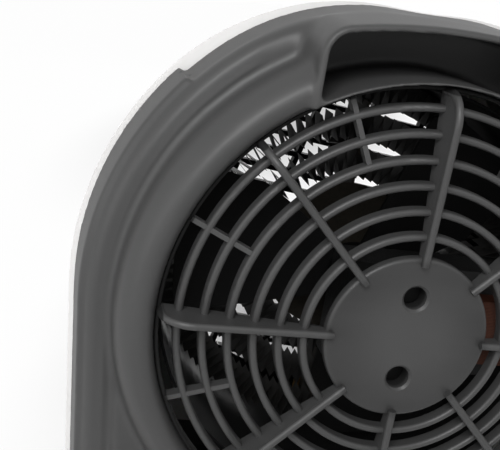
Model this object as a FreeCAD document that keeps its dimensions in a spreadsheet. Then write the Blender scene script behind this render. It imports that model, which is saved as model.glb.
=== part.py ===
import FreeCAD, Part
import math
import os

import Sketcher
from FreeCAD import Placement, Rotation, Vector

# Upright fan heater with an arched casing. Every sub-part is drawn from the centre of the inlet hub's rear face:
# X across, Y to the rear, Z up. "Depth" runs the other way from Y, forward from the hub's rear face.

doc = FreeCAD.newDocument("fan_heater")
sheet = doc.addObject("Spreadsheet::Sheet", "Sizes")

SIZES = {
    # Stance of the casing
    "hub_height": 152, "foot_height": 4, "base_thickness": 3,
    # Arched outline of the casing
    "arch_radius": 99.2, "arch_rise": 1.6, "side_taper": 4.5, "saddle_dip": 4.5, "saddle_radius": 170,
    "saddle_reach": 19.2,
    # Depths of the casing's main faces
    "parting_depth": 42, "rim_face_depth": 20.6, "panel_depth": 18.5, "crest_depth": 4.5, "front_depth": 112,
    # Walls and clearances
    "wall": 2.5, "seat_clearance": 0.3, "running_clearance": 0.04, "screw_clearance": 0.2,
    # Rim of the rear shell
    "rear_inset": 2.4, "rim_draft": 1.0, "shoulder_depth": 27, "shoulder_radius": 5.5, "groove_inset": 6.8,
    "groove_width": 1.7, "groove_radius": 1.2, "ridge_width": 2.4, "ridge_radius": 1.9, "valley_drop": 0.5,
    # Side bands of the rear shell
    "band_depth": 25, "band_draft": 1.2, "band_chamfer": 1, "notch_angle": 42,
    # Collar round the inlet
    "collar_land": 11.6, "crown_inset": 7.3, "collar_round": 14, "lip_round": 4.4,
    # Lower rear panel
    "panel_inset": 12.6, "panel_round": 2.4, "panel_tuck": 3,
    # Grip pocket and its hood
    "pocket_half_width": 39, "pocket_drop": 6.2, "pocket_crown": 174, "pocket_round": 7, "pocket_floor_depth": 38,
    "pocket_wall": 2.0, "sill_wall": 1.3, "hood_depth": 3.6, "hood_taper": 5, "hood_edge": 0.9,
    # Inlet grille
    "hub_radius": 26, "hub_thickness": 3, "hub_round": 1.2, "first_gap": 6, "last_gap": 6.75, "ring_count": 6,
    "ring_width": 2.3, "ring_height": 4, "dome_linear": 4.67, "dome_square": 5.42, "dome_span": 54.2,
    "rim_ring_width": 1.3, "rim_ring_depth": 9.6, "rim_seat_depth": 12.5,
    "fin_count": 8, "fin_overlap": 2.2, "fin_rise": 2.9, "fin_hub_rise": 2.3, "fin_corner": 8.7, "bead_radius": 1.2,
    "web_thickness": 1.6, "rib_thickness": 1.5, "rib_drop": 0.6, "rib_end_depth": 8.6,
    "screw_spacing": 26.2, "access_radius": 3.65, "access_chamfer": 0.75, "boss_radius": 5.2, "boss_end": 10,
    "boss_floor": 2,
    # Front shell and outlet grille
    "front_step": 1.4, "front_drop": 3.7, "front_draft": 11, "front_round": 8, "lip_length": 6, "outlet_margin": 10.4,
    "outlet_ring": 5.5, "outlet_flange": 3, "lattice_recess": 1, "lattice_height": 3.5, "lattice_row": 7.4,
    "lattice_column": 22.4, "lattice_bar": 2.1, "row_slope": 6.5, "column_slope": 15,
    # Base, feet and screws
    "base_margin": 1, "base_rear_depth": 20, "base_front_gap": 1, "base_corner": 8,
    "foot_radius": 8.5, "foot_tip_radius": 7.2, "foot_inset": 15, "foot_rear_depth": 30, "foot_front_gap": 14,
    "post_radius": 4.2, "post_height": 18, "post_bite": 1.5, "front_post_gap": 14, "rear_post_gap": 8,
    "screw_radius": 1.5, "screw_head_radius": 3.4, "screw_head_height": 2.2,
    "screw_length": 14, "well_inset": 22, "well_rise": 21, "well_radius": 6,
    # Cord inlet
    "gland_x": 30, "gland_rise": 19, "gland_flange": 8.5, "gland_neck": 6, "gland_bore": 3.4,
    "gland_flange_height": 3, "gland_neck_length": 10,
    # Motor
    "core_start": 16, "core_stack": 16, "rotor_radius": 9, "air_gap": 0.4, "pole_half_width": 17,
    "core_half_height": 18, "window_start": 17, "window_width": 11, "window_half_height": 11, "limb_width": 8,
    "coil_overhang": 7, "coil_build": 9, "bracket_plate": 2, "bracket_half_width": 8, "cup_radius": 6.2,
    "cup_length": 6, "bearing_radius": 4.6, "bearing_length": 5, "shaft_radius": 2, "shaft_start": 6,
    "shaft_end": 66, "motor_screw_radius": 2, "motor_screw_head": 3.3, "motor_screw_head_height": 2.6,
    "spacer_radius": 4, "nut_height": 3, "nut_radius": 4.2,
    # Fan
    "fan_start": 47, "fan_hub_radius": 11, "fan_hub_length": 14, "fan_clearance": 6, "blade_count": 3,
    "blade_chord": 76, "blade_thickness": 1.4, "blade_pitch": 12, "blade_camber_radius": 130,
    "blade_root": 14, "blade_tip": 56, "blade_tip_round": 10, "fan_rest_angle": 79,
    "collet_radius": 4.5, "collet_length": 3,
    # Duct and heating element
    "duct_sheet": 1, "duct_start": 30, "mica_start": 74, "mica_height": 22,
    "mica_thickness": 0.8, "wire_rows": 3, "cap_radius": 29, "first_row": 36, "last_row_gap": 8, "wire_amplitude": 5,
    "wire_width": 10, "wire_thickness": 0.6, "wire_tooth": 3.6, "notch_depth": 10, "notch_half_width": 3.8,
    "cutout_radius": 4.2, "cutout_length": 7, "cutout_height": 44, "fuse_radius": 1.6, "fuse_length": 12,
    "fuse_height": 24, "tab_thickness": 0.8, "tab_width": 6, "tab_length": 13,
    # Controls
    "knob_spacing": 80, "control_rise": 37, "control_side": 30, "thermostat_length": 20, "selector_length": 24,
    "bush_radius": 4.8, "bush_length": 5.5, "spindle_radius": 3, "spindle_length": 25, "control_nut_height": 2.2,
    "control_nut_radius": 8, "knob_gap": 1, "knob_height": 14, "knob_radius": 17, "knob_skirt": 4,
    "knob_grip_width": 9, "knob_taper": 1.5, "knob_recess_radius": 10, "knob_recess": 4,
    "lamp_radius": 4, "lamp_flange": 5.8, "lamp_rise": 1.5, "lamp_lift": 14, "lamp_length": 9,
    # Tip-over switch and terminal block
    "switch_depth": 66, "switch_length": 24, "switch_width": 15, "switch_height": 15, "plunger_radius": 3,
    "plunger_collar_radius": 4.5, "plunger_collar_height": 2, "plunger_travel": 4, "plunger_top": 9,
    "block_x": 40, "block_depth": 40, "block_length": 30, "block_width": 14, "block_height": 12, "block_ways": 3,
    "block_way_radius": 2.2,
}

for row, (alias, amount) in enumerate(SIZES.items(), start=1):
    sheet.set(f"A{row}", alias)
    sheet.set(f"B{row}", str(amount))
    sheet.setAlias(f"B{row}", alias)
doc.recompute()


class Size:
    """A length or an angle, with the sheet expression that drives it."""

    def __init__(self, value, text):
        self.value = value
        self.text = text

    def __add__(self, other):
        other = as_size(other)
        return Size(self.value + other.value, f"({self.text} + {other.text})")

    def __sub__(self, other):
        other = as_size(other)
        return Size(self.value - other.value, f"({self.text} - {other.text})")

    def __mul__(self, other):
        other = as_size(other)
        return Size(self.value * other.value, f"({self.text} * {other.text})")

    def __truediv__(self, other):
        other = as_size(other)
        return Size(self.value / other.value, f"({self.text} / {other.text})")

    def __neg__(self):
        return Size(-self.value, f"(0 - {self.text})")

    def __radd__(self, other):
        return as_size(other) + self

    def __rsub__(self, other):
        return as_size(other) - self

    def __rmul__(self, other):
        return as_size(other) * self

    def __float__(self):
        return float(self.value)


def as_size(amount):
    if isinstance(amount, Size):
        return amount
    return Size(float(amount), repr(float(amount)))


def size(alias):
    return Size(float(sheet.get(alias)), f"Sizes.{alias}")


def root(amount):
    return Size(math.sqrt(amount.value), f"sqrt({amount.text})")


def sine(angle):
    return Size(math.sin(math.radians(angle.value)), f"sin({angle.text})")


def cosine(angle):
    return Size(math.cos(math.radians(angle.value)), f"cos({angle.text})")


def bind(thing, prop, amount):
    """Drive one property of a document object from the sheet."""
    if isinstance(amount, Size):
        thing.setExpression(prop, amount.text)
    else:
        setattr(thing, prop, amount)


def bind_place(thing, x=0, y=0, z=0):
    for axis, amount in zip("xyz", (x, y, z)):
        thing.setExpression(f"Placement.Base.{axis}", as_size(amount).text)


# Sketches and features

def new_body(name):
    return doc.addObject("PartDesign::Body", name)


def origin_part(body, role):
    return next(part for part in body.Origin.OriginFeatures if part.Role == role)


def new_sketch(body, name, plane, depth=None, turn=None):
    """A sketch on one of the body's origin planes, moved along the plane's normal or turned about Y."""
    sketch = body.newObject("Sketcher::SketchObject", name)
    sketch.AttachmentSupport = [(origin_part(body, plane), "")]
    sketch.MapMode = "FlatFace"
    if turn is not None:
        sketch.AttachmentOffset = Placement(Vector(), Rotation(Vector(0, 1, 0), float(turn)))
    if depth is not None:
        sketch.setExpression("AttachmentOffset.Base.z", as_size(depth).text)
    return sketch


def fix_point(sketch, edge, end, x, y):
    """Hold one end of an edge at a place worked out from the sheet."""
    for kind, amount, axis in (("DistanceX", x, -2), ("DistanceY", y, -1)):
        amount = as_size(amount)
        if abs(amount.value) < 1e-9:
            sketch.addConstraint(Sketcher.Constraint("PointOnObject", edge, end, axis))
            continue
        index = sketch.addConstraint(Sketcher.Constraint(kind, -1, 1, edge, end, amount.value))
        sketch.setExpression(f"Constraints[{index}]", amount.text)


def arc_between(start, end, radius):
    """The shorter arc from start to end: anticlockwise where the radius is positive."""
    chord = end - start
    reach = abs(radius)
    rise = math.sqrt(max(reach ** 2 - chord.Length ** 2 / 4, 0))
    left = Vector(-chord.y, chord.x, 0).normalize()
    centre = (start + end) / 2 + left * math.copysign(rise, radius)
    first, last = (start, end) if radius > 0 else (end, start)
    angles = [math.atan2(point.y - centre.y, point.x - centre.x) for point in (first, last)]
    return Part.ArcOfCircle(Part.Circle(centre, Vector(0, 0, 1), reach), angles[0], angles[1])


def draw(sketch, corners, closed=True):
    """Lines and arcs through the corners. A corner's third value is the radius of the arc that leaves it."""
    count = len(corners) if closed else len(corners) - 1
    first_edge = sketch.GeometryCount
    ends = []
    for step in range(count):
        corner = corners[step]
        following = corners[(step + 1) % len(corners)]
        start = Vector(float(corner[0]), float(corner[1]), 0)
        end = Vector(float(following[0]), float(following[1]), 0)
        if len(corner) == 2:
            edge = sketch.addGeometry(Part.LineSegment(start, end), False)
            ends.append((edge, 1, 2))
            continue
        radius = as_size(corner[2])
        edge = sketch.addGeometry(arc_between(start, end, radius.value), False)
        ends.append((edge, 1, 2) if radius.value > 0 else (edge, 2, 1))
    joints = range(count) if closed else range(1, count)
    for step in joints:
        edge, start, _ = ends[step]
        before, _, end = ends[step - 1]
        sketch.addConstraint(Sketcher.Constraint("Coincident", before, end, edge, start))
    for step in range(count):
        edge, start, end = ends[step]
        fix_point(sketch, edge, start, corners[step][0], corners[step][1])
        if len(corners[step]) == 3:
            radius = as_size(corners[step][2])
            reach = radius if radius.value > 0 else -radius
            index = sketch.addConstraint(Sketcher.Constraint("Radius", edge, reach.value))
            sketch.setExpression(f"Constraints[{index}]", reach.text)
    if not closed:
        edge, _, end = ends[-1]
        fix_point(sketch, edge, end, corners[-1][0], corners[-1][1])
    return [f"Edge{first_edge + step + 1}" for step in range(count)]


def rectangle(low_x, low_y, high_x, high_y):
    return [(low_x, low_y), (high_x, low_y), (high_x, high_y), (low_x, high_y)]


def add_pad(body, sketch, length, both_ways=False):
    pad = body.newObject("PartDesign::Pad", f"{sketch.Name}_pad")
    pad.Profile = sketch
    bind(pad, "Length", length)
    if both_ways:
        pad.SideType = "Symmetric"
    return pad


def add_revolution(body, sketch):
    """Turn a profile of radius and rearward height about the hub's axis."""
    revolution = body.newObject("PartDesign::Revolution", f"{sketch.Name}_turned")
    revolution.Profile = sketch
    revolution.ReferenceAxis = (sketch, ["V_Axis"])
    revolution.Angle = 360
    return revolution


def add_pipe(body, profile, spine, edges):
    pipe = body.newObject("PartDesign::AdditivePipe", f"{profile.Name}_swept")
    pipe.Profile = profile
    pipe.Spine = (spine, edges)
    return pipe


def add_ring_of(body, features, count):
    """Repeat features evenly about the hub's axis."""
    pattern = body.newObject("PartDesign::PolarPattern", f"{features[0].Name}_ring")
    pattern.Originals = features
    pattern.Axis = (origin_part(body, "Y_Axis"), [""])
    pattern.Angle = 360
    bind(pattern, "Occurrences", count)
    body.Tip = pattern
    return pattern


def prism(name, corners, start, end):
    """A body with the outline corners (X, Z), between two depths."""
    body = new_body(name)
    sketch = new_sketch(body, f"{name}_outline", "XZ_Plane", start)
    draw(sketch, corners)
    add_pad(body, sketch, end - start)
    return body


def turned(name, *profiles):
    """A body turned about the hub's axis from profiles of (radius, rearward height)."""
    body = new_body(name)
    sketch = new_sketch(body, f"{name}_profile", "XY_Plane")
    for profile in profiles:
        draw(sketch, profile)
    add_revolution(body, sketch)
    return body


# Primitives and booleans

def rod(name, radius, start, end, x=0, z=0, tip=None):
    """A round bar along the depth, or a cone where the tip has its own radius."""
    bar = doc.addObject("Part::Cylinder" if tip is None else "Part::Cone", name)
    bar.Placement = Placement(Vector(), Rotation(Vector(1, 0, 0), 90))
    bind(bar, "Radius" if tip is None else "Radius1", as_size(radius))
    if tip is not None:
        bind(bar, "Radius2", as_size(tip))
    bind(bar, "Height", as_size(end) - start)
    bind_place(bar, x, -as_size(start), z)
    return bar


def post(name, radius, bottom, top, x, depth, tip=None):
    """An upright round bar, or a cone where the tip has its own radius."""
    bar = doc.addObject("Part::Cylinder" if tip is None else "Part::Cone", name)
    bind(bar, "Radius" if tip is None else "Radius1", as_size(radius))
    if tip is not None:
        bind(bar, "Radius2", as_size(tip))
    bind(bar, "Height", as_size(top) - bottom)
    bind_place(bar, x, -as_size(depth), bottom)
    return bar


def block(name, low_x, high_x, start, end, low_z, high_z):
    box = doc.addObject("Part::Box", name)
    bind(box, "Length", as_size(high_x) - low_x)
    bind(box, "Width", as_size(end) - start)
    bind(box, "Height", as_size(high_z) - low_z)
    bind_place(box, low_x, -as_size(end), low_z)
    return box


def joined(name, *shapes, refine=True):
    fuse = doc.addObject("Part::MultiFuse", name)
    fuse.Shapes = list(shapes)
    fuse.Refine = refine
    return fuse


def cut(name, base, *tools):
    difference = doc.addObject("Part::Cut", name)
    difference.Base = base
    difference.Tool = tools[0] if len(tools) == 1 else joined(f"{name}_tools", *tools)
    difference.Refine = True
    return difference


def shared(name, *shapes):
    common = doc.addObject("Part::MultiCommon", name)
    common.Shapes = list(shapes)
    common.Refine = True
    return common


def rounded(name, base, radius, wanted):
    """Fillet the edges of base that the test wanted picks."""
    doc.recompute()
    fillet = doc.addObject("Part::Fillet", name)
    fillet.Base = base
    numbers = [number for number, edge in enumerate(base.Shape.Edges, start=1) if wanted(edge)]
    fillet.Edges = [(number, float(radius), float(radius)) for number in numbers]
    return fillet


def group(name, *shapes):
    """Separate solids that share one node."""
    compound = doc.addObject("Part::Compound", name)
    compound.Links = list(shapes)
    return compound


def made(name, shape):
    feature = doc.addObject("Part::Feature", name)
    feature.Shape = shape
    return feature


SUB_PARTS = []


def sub_part(label, thing):
    """Name a finished sub-part and stand it at the hub's place over the floor."""
    if thing.TypeId in ("Part::Cylinder", "Part::Cone"):
        thing = group(f"{label}_stand", thing)
    thing.Label = label
    bind_place(thing, 0, hub_place, size("hub_height"))
    SUB_PARTS.append(thing)
    return thing


# Places that several sub-parts share
wall = size("wall")
clear = size("seat_clearance")
running = size("running_clearance")
taper = size("side_taper")
parting = size("parting_depth")
front = size("front_depth")
plate_back = front - wall
floor_level = size("base_thickness") + size("foot_height") - size("hub_height")
saddle_height = size("arch_rise") + size("arch_radius") - size("saddle_dip")
front_dip = size("saddle_dip") + size("front_drop")
knob_front = front + size("knob_gap") + size("knob_height")
hub_place = (knob_front - size("fin_rise")) / 2
screw_offset = size("screw_spacing") / 2


def side_x(inset, level):
    """Half the casing's width on its tapered sides, at a level below the hub."""
    return (size("arch_radius") - inset + (level - size("arch_rise")) * sine(taper)) / cosine(taper)


def arch(inset, level, dip):
    """The casing's arched outline with a dipped top, drawn in by an inset and cut off at a level under the hub."""
    radius = size("arch_radius") - inset
    rise = size("arch_rise")
    tangent = (radius * cosine(taper), rise - radius * sine(taper))
    foot = side_x(inset, level)
    reach = size("saddle_reach")
    dip_centre = size("arch_radius") - dip + size("saddle_radius")
    dip_reach = size("saddle_radius") + size("arch_radius") - reach
    blend_z = (reach * reach + dip_centre * dip_centre - dip_reach * dip_reach) / (dip_centre * 2)
    blend_x = root(reach * reach - blend_z * blend_z)
    share = radius / reach
    leave = (blend_x * share, rise + blend_z * share)
    dip_share = (size("saddle_radius") + inset) / dip_reach
    low = (blend_x * dip_share, rise + dip_centre + (blend_z - dip_centre) * dip_share)
    blend = radius - reach
    return [
        (foot, level), (tangent[0], tangent[1], radius), (leave[0], leave[1], blend),
        (low[0], low[1], -(size("saddle_radius") + inset)), (-low[0], low[1], blend),
        (-leave[0], leave[1], radius), (-tangent[0], tangent[1]), (-foot, level),
    ]


def arched_rim(name, section, level, dip):
    """Sweep a section (inset, depth) along the casing's outline, from the floor over the arch to the floor."""
    body = new_body(name)
    spine = new_sketch(body, f"{name}_spine", "XZ_Plane")
    path = arch(0, level, dip)
    edges = draw(spine, path, closed=False)
    profile = new_sketch(body, f"{name}_section", "XY_Plane", turn=taper)
    profile.setExpression("AttachmentOffset.Base.x", path[0][0].text)
    profile.setExpression("AttachmentOffset.Base.z", level.text)
    draw(profile, [(-as_size(corner[0]), -as_size(corner[1]), *corner[2:]) for corner in section])
    add_pipe(body, profile, spine, edges)
    return body


# Rear shell: rim, side bands, collar, lower panel, hooded grip pocket, screw wells and posts
rim_start = size("rear_inset")
rim_shoulder = rim_start + size("rim_draft")
ridge_start = size("groove_inset") + size("groove_width")
rim_flat = size("rim_face_depth") + size("valley_drop")
below_floor = floor_level - wall * 5
flank = size("arch_radius") - size("collar_land")
rim_end = size("panel_inset") + size("panel_tuck")
rear_rim = arched_rim("rear_rim", [
    (rim_start, parting), (rim_shoulder, size("shoulder_depth"), size("shoulder_radius")),
    (size("groove_inset"), size("rim_face_depth"), -size("groove_radius")),
    (ridge_start, size("rim_face_depth"), size("ridge_radius")),
    (ridge_start + size("ridge_width"), rim_flat), (rim_end, rim_flat),
    (rim_end, rim_flat + wall), (rim_shoulder + wall * 1.6, rim_flat + wall),
    (rim_shoulder + wall, size("shoulder_depth") + wall * 0.6), (rim_start + wall, parting),
], below_floor, size("saddle_dip"))

band_ring = arched_rim("band_ring", [
    (0, parting), (size("band_draft"), size("band_depth") + size("band_chamfer")),
    (size("band_draft") + size("band_chamfer"), size("band_depth")),
    (rim_shoulder + wall / 2, size("band_depth")), (rim_start + wall / 2, parting),
], below_floor, size("saddle_dip"))
notch_x = size("arch_radius") * cosine(size("notch_angle"))
notch_z = size("arch_radius") * sine(size("notch_angle"))
above_notch = prism("above_notch", [
    (notch_x * 0.5, notch_z * 0.5), (notch_x * 1.5, notch_z * 1.5), (notch_x * 1.5, notch_z * 3),
    (-notch_x * 1.5, notch_z * 3), (-notch_x * 1.5, notch_z * 1.5), (-notch_x * 0.5, notch_z * 0.5),
], wall, parting + wall)
side_bands = cut("side_bands", band_ring, above_notch)

crest = flank - size("crown_inset")
rim_bore = crest - size("lip_round")
rim_ring_outer = rim_bore - clear
rim_ring_inner = rim_ring_outer - size("rim_ring_width")
lip_level = size("crest_depth") + size("lip_round")
round_reach = size("collar_round") - size("lip_round")
round_across = size("collar_round") - size("crown_inset")
round_along = root(round_reach * round_reach - round_across * round_across)
shoulder_level = lip_level + round_along
roll_radius = crest + size("lip_round") * round_across / round_reach
roll_level = lip_level - size("lip_round") * round_along / round_reach
seat = size("rim_seat_depth")
collar_low = rim_flat + wall * 0.7
collar = turned("collar", [
    (flank, -collar_low), (flank, -shoulder_level, size("collar_round")),
    (roll_radius, -roll_level, size("lip_round")), (rim_bore, -lip_level),
    (rim_bore, -seat), (rim_ring_inner, -seat), (rim_ring_inner, -(seat + wall)), (rim_bore + wall, -(seat + wall)),
    (rim_bore + wall, -lip_level), (crest, -(size("crest_depth") + wall)), (flank - wall, -shoulder_level),
    (flank - wall, -collar_low),
])

panel_top = size("arch_rise") - (size("arch_radius") - size("panel_inset")) * sine(taper)


def panel_corners(inset):
    return [
        (side_x(inset, below_floor), below_floor), (side_x(inset, panel_top), panel_top),
        (-side_x(inset, panel_top), panel_top), (-side_x(inset, below_floor), below_floor),
    ]


panel_block = prism("panel_block", panel_corners(size("panel_inset")), size("panel_depth"), rim_flat + wall * 0.6)
doc.recompute()
panel_round = rounded(
    "panel_rounded", panel_block, size("panel_round"),
    lambda edge: abs(edge.CenterOfMass.y + size("panel_depth").value) < 0.01
    and abs(edge.CenterOfMass.x) > crest.value / 2,
)
panel_hollow = prism(
    "panel_hollow", panel_corners(size("panel_inset") + wall), size("panel_depth") + wall, parting)
panel_bore = rod("panel_bore", flank - wall * 0.6, 0, parting)
panel = cut("panel", panel_round, panel_hollow, panel_bore)
blend_radius = size("panel_depth") - shoulder_level
panel_blend = shared(
    "panel_blend",
    turned("blend_ring", [
        (flank - wall, -(size("panel_depth") + wall)), (flank + blend_radius, -(size("panel_depth") + wall)),
        (flank + blend_radius, -size("panel_depth"), -blend_radius), (flank, -shoulder_level),
        (flank - wall, -shoulder_level),
    ]),
    prism("blend_field", panel_corners(size("panel_inset") + size("panel_round")), 0, parting))


def pocket_corners(half_width, top, crown, corner, bottom):
    """Outline of the grip: upright sides, rounded upper corners and a gently crowned top."""
    corner_x = half_width - corner
    crown_z = top - crown
    inner = crown - corner
    side_z = crown_z + root(inner * inner - corner_x * corner_x)
    shoulder_x = corner_x * crown / inner
    shoulder_z = crown_z + (side_z - crown_z) * crown / inner
    return [
        (half_width, bottom), (half_width, side_z, corner), (shoulder_x, shoulder_z, crown),
        (-shoulder_x, shoulder_z, corner), (-half_width, side_z), (-half_width, bottom),
    ]


pocket_bottom = rim_bore * 0.8
pocket_top = saddle_height - size("pocket_drop")
pocket_wall = size("pocket_wall")


def grip_outline(spread, bottom):
    """The pocket's outline, grown by an even spread."""
    return pocket_corners(
        size("pocket_half_width") + spread, pocket_top + spread, size("pocket_crown") + spread,
        size("pocket_round") + spread, bottom)


hood_body = new_body("hood_body")
hood_sketch = new_sketch(hood_body, "hood_outline", "XZ_Plane", size("hood_depth"))
draw(hood_sketch, grip_outline(pocket_wall, pocket_bottom))
hood_pad = add_pad(hood_body, hood_sketch, rim_flat + wall - size("hood_depth"))
bind(hood_pad, "TaperAngle", size("hood_taper"))
hood = rounded(
    "hood", hood_body, size("hood_edge"),
    lambda edge: abs(edge.CenterOfMass.y + size("hood_depth").value) < 0.01
    and edge.CenterOfMass.z > pocket_bottom.value + 1,
)
pocket_end = size("pocket_floor_depth") + pocket_wall
pocket_pan = prism("pocket_pan", grip_outline(pocket_wall, pocket_bottom - wall), seat, pocket_end)
pocket_sill = rim_bore + size("sill_wall")
pocket_space = cut(
    "pocket_space", prism("pocket_outline", grip_outline(as_size(0), pocket_bottom), -wall, size("pocket_floor_depth")),
    rod("pocket_sill_bar", pocket_sill, -wall, parting))
grip = cut(
    "grip", joined("grip_blank", hood, pocket_pan), rod("grip_bore", rim_bore + wall / 10, -wall, parting))

well_z = floor_level + size("well_rise")
well_offset = side_x(size("well_inset"), floor_level)
well_end = parting + wall
wells = []
well_bores = []
for side in (-1, 1):
    well_x = well_offset * side
    wells.append(rod("well", size("well_radius"), size("panel_depth") + wall / 2, well_end + wall, well_x, well_z))
    well_bores.append(rod(
        "well_bore", size("screw_head_radius") + size("screw_clearance") * 3, 0, well_end, well_x, well_z))
    well_bores.append(rod(
        "well_hole", size("screw_radius") + size("screw_clearance"), 0, parting * 2, well_x, well_z))

post_top = floor_level + size("post_height")


def base_post(name, x, depth):
    return post(name, size("post_radius"), below_floor, post_top, x, depth)


def base_post_hole(name, x, depth):
    return post(
        name, size("screw_radius") + size("screw_clearance") / 2, below_floor,
        floor_level + size("screw_length") + clear, x, depth)


rear_post_depth = parting - size("rear_post_gap")
rear_post_x = side_x(rim_start + wall * 1.3, floor_level) - size("post_radius") + size("post_bite")
rear_posts = [base_post("rear_post", rear_post_x * side, rear_post_depth) for side in (-1, 1)]
rear_post_holes = [base_post_hole("rear_post_hole", rear_post_x * side, rear_post_depth) for side in (-1, 1)]
gland_z = floor_level + size("gland_rise")
gland_hole = rod(
    "gland_hole", size("gland_neck") + size("screw_clearance"), 0, parting, size("gland_x"), gland_z)


def under_floor(name):
    reach = size("arch_radius") * 2
    return block(name, -reach, reach, -reach, reach, below_floor - wall * 4, floor_level)


rear_blank = joined("rear_blank", rear_rim, side_bands, collar, panel, panel_blend, grip, *wells, *rear_posts)
sub_part("rear_shell", cut(
    "rear_shell_cut", rear_blank, pocket_space, gland_hole, *well_bores, *rear_post_holes,
    under_floor("rear_under")))

# Inlet grille: hub disc, fins with a round bead, domed rings, short ribs and motor bosses


def dome_depth(radius):
    """How far the rings lie forward of the hub's face."""
    share = (radius - size("hub_radius")) / size("dome_span")
    return share * size("dome_linear") + share * share * size("dome_square")


def bar_section(radius, width, top_depth, bottom_depth):
    """Section of a ring: flat sides and a round rear edge."""
    half = width / 2
    return [
        (radius - half, -bottom_depth), (radius + half, -bottom_depth),
        (radius + half, -(top_depth + half), half), (radius, -top_depth, half),
        (radius - half, -(top_depth + half)),
    ]


grille = new_body("rear_grille_body")
hub_profile = new_sketch(grille, "hub_profile", "XY_Plane")
hub_edge = size("hub_radius") - size("hub_round")
draw(hub_profile, [
    (0, -size("hub_thickness")), (size("hub_radius"), -size("hub_thickness")),
    (size("hub_radius"), -size("hub_round"), size("hub_round")), (hub_edge, 0), (0, 0),
])
add_revolution(grille, hub_profile)

rim_middle = (rim_ring_inner + rim_ring_outer) / 2
bead = size("bead_radius")
fin_out = rim_ring_outer - bead
fin_start = size("hub_radius") - size("fin_overlap")
fin_line = fin_out - size("fin_corner")
fin_top = size("fin_rise") - bead
fin_hub_top = size("fin_hub_rise") - bead
fin_corner_low = fin_top - size("fin_corner")
fin_web = new_sketch(grille, "fin_web", "XY_Plane")
draw(fin_web, [
    (fin_start, -(size("hub_thickness") / 2)), (size("hub_radius"), -size("hub_thickness")),
    (fin_out, -seat), (fin_out, fin_corner_low, size("fin_corner")),
    (fin_line, fin_top), (fin_start, fin_hub_top),
])
web_pad = add_pad(grille, fin_web, size("web_thickness"), both_ways=True)
bead_spine = new_sketch(grille, "bead_spine", "XY_Plane")
bead_edges = draw(bead_spine, [
    (fin_out, -size("rim_ring_depth") - bead), (fin_out, fin_corner_low, size("fin_corner")),
    (fin_line, fin_top), (fin_start, fin_hub_top),
], closed=False)
bead_section = new_sketch(grille, "bead_section", "XZ_Plane", size("rim_ring_depth") + bead)
circle = bead_section.addGeometry(Part.Circle(Vector(fin_out.value, 0, 0), Vector(0, 0, 1), bead.value), False)
radius_rule = bead_section.addConstraint(Sketcher.Constraint("Radius", circle, bead.value))
bead_section.setExpression(f"Constraints[{radius_rule}]", bead.text)
fix_point(bead_section, circle, 3, fin_out, 0)
bead_pipe = add_pipe(grille, bead_section, bead_spine, bead_edges)
add_ring_of(grille, [web_pad, bead_pipe], size("fin_count"))

rings = new_sketch(grille, "rings", "XY_Plane")
ring_count = int(sheet.get("ring_count"))
first_ring = size("hub_radius") + size("first_gap")
ring_pitch = (rim_bore - size("last_gap") - first_ring) / (ring_count - 1)
ring_radii = [first_ring + ring_pitch * step for step in range(ring_count)]
for radius in ring_radii:
    top = dome_depth(radius)
    draw(rings, bar_section(radius, size("ring_width"), top, top + size("ring_height")))
draw(rings, bar_section(rim_middle, size("rim_ring_width"), size("rim_ring_depth"), seat))
add_revolution(grille, rings)

rib_start = ring_radii[ring_count // 2]
rib = new_sketch(grille, "rib", "XY_Plane", turn=180 / sheet.get("fin_count"))
draw(rib, [
    (rib_start, -(dome_depth(rib_start) + size("ring_height"))),
    (rim_middle, -seat), (rim_middle, -size("rib_end_depth")),
    (rib_start, -(dome_depth(rib_start) + size("rib_drop"))),
])
rib_pad = add_pad(grille, rib, size("rib_thickness"), both_ways=True)
add_ring_of(grille, [rib_pad], size("fin_count"))

bosses = []
boss_bores = []
boss_floor_depth = size("boss_end") - size("boss_floor")
for side in (-1, 1):
    z = screw_offset * side
    bosses.append(rod("boss", size("boss_radius"), size("hub_thickness") / 2, size("boss_end"), 0, z))
    boss_bores.append(rod("access", size("access_radius"), -wall, boss_floor_depth, 0, z))
    boss_bores.append(rod(
        "access_chamfer", size("access_radius") + size("access_chamfer"), 0, size("access_chamfer"), 0, z,
        tip=size("access_radius")))
    boss_bores.append(rod(
        "boss_hole", size("motor_screw_radius") + size("screw_clearance"), 0, size("boss_end") + wall, 0, z))
sub_part("rear_grille", cut("rear_grille_cut", joined("grille_blank", grille, *bosses), *boss_bores))

# Front shell: drafted side wall with a seat for the rear shell, rounded front edge, front plate and posts
draft = size("front_draft")


def draft_inset(depth):
    """How far the drafted side wall has drawn in at a depth."""
    return (depth - parting) * sine(draft) / cosine(draft) - size("front_step")


edge_depth = front - size("front_round") + size("front_round") * sine(draft)
edge_inset = draft_inset(edge_depth)
flat_inset = edge_inset + size("front_round") * cosine(draft)
plate_inset = flat_inset + wall
lip_inner = rim_start + wall
lip_end = parting + size("lip_length")
front_rim = arched_rim("front_rim", [
    (-size("front_step"), parting), (lip_inner, parting), (lip_inner, lip_end),
    (draft_inset(lip_end + wall) + wall, lip_end + wall),
    (edge_inset + wall, edge_depth), (flat_inset, plate_back),
    (plate_inset, plate_back), (plate_inset, front), (flat_inset, front, size("front_round")),
    (edge_inset, edge_depth),
], below_floor, front_dip)
front_plate = prism("front_plate", arch(plate_inset - wall / 2, below_floor, front_dip), plate_back, front)
outlet_radius = size("arch_radius") - flat_inset - size("outlet_margin")
control_z = floor_level + size("control_rise")
knob_x = size("knob_spacing") / 2
lamp_z = control_z + size("lamp_lift")
front_openings = [
    rod("outlet", outlet_radius, parting, front + wall),
    rod("lamp_hole", size("lamp_radius") + size("screw_clearance"), parting, front + wall, 0, lamp_z),
]
front_parts = [front_rim, front_plate]
front_post_depth = front - size("front_post_gap")
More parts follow.
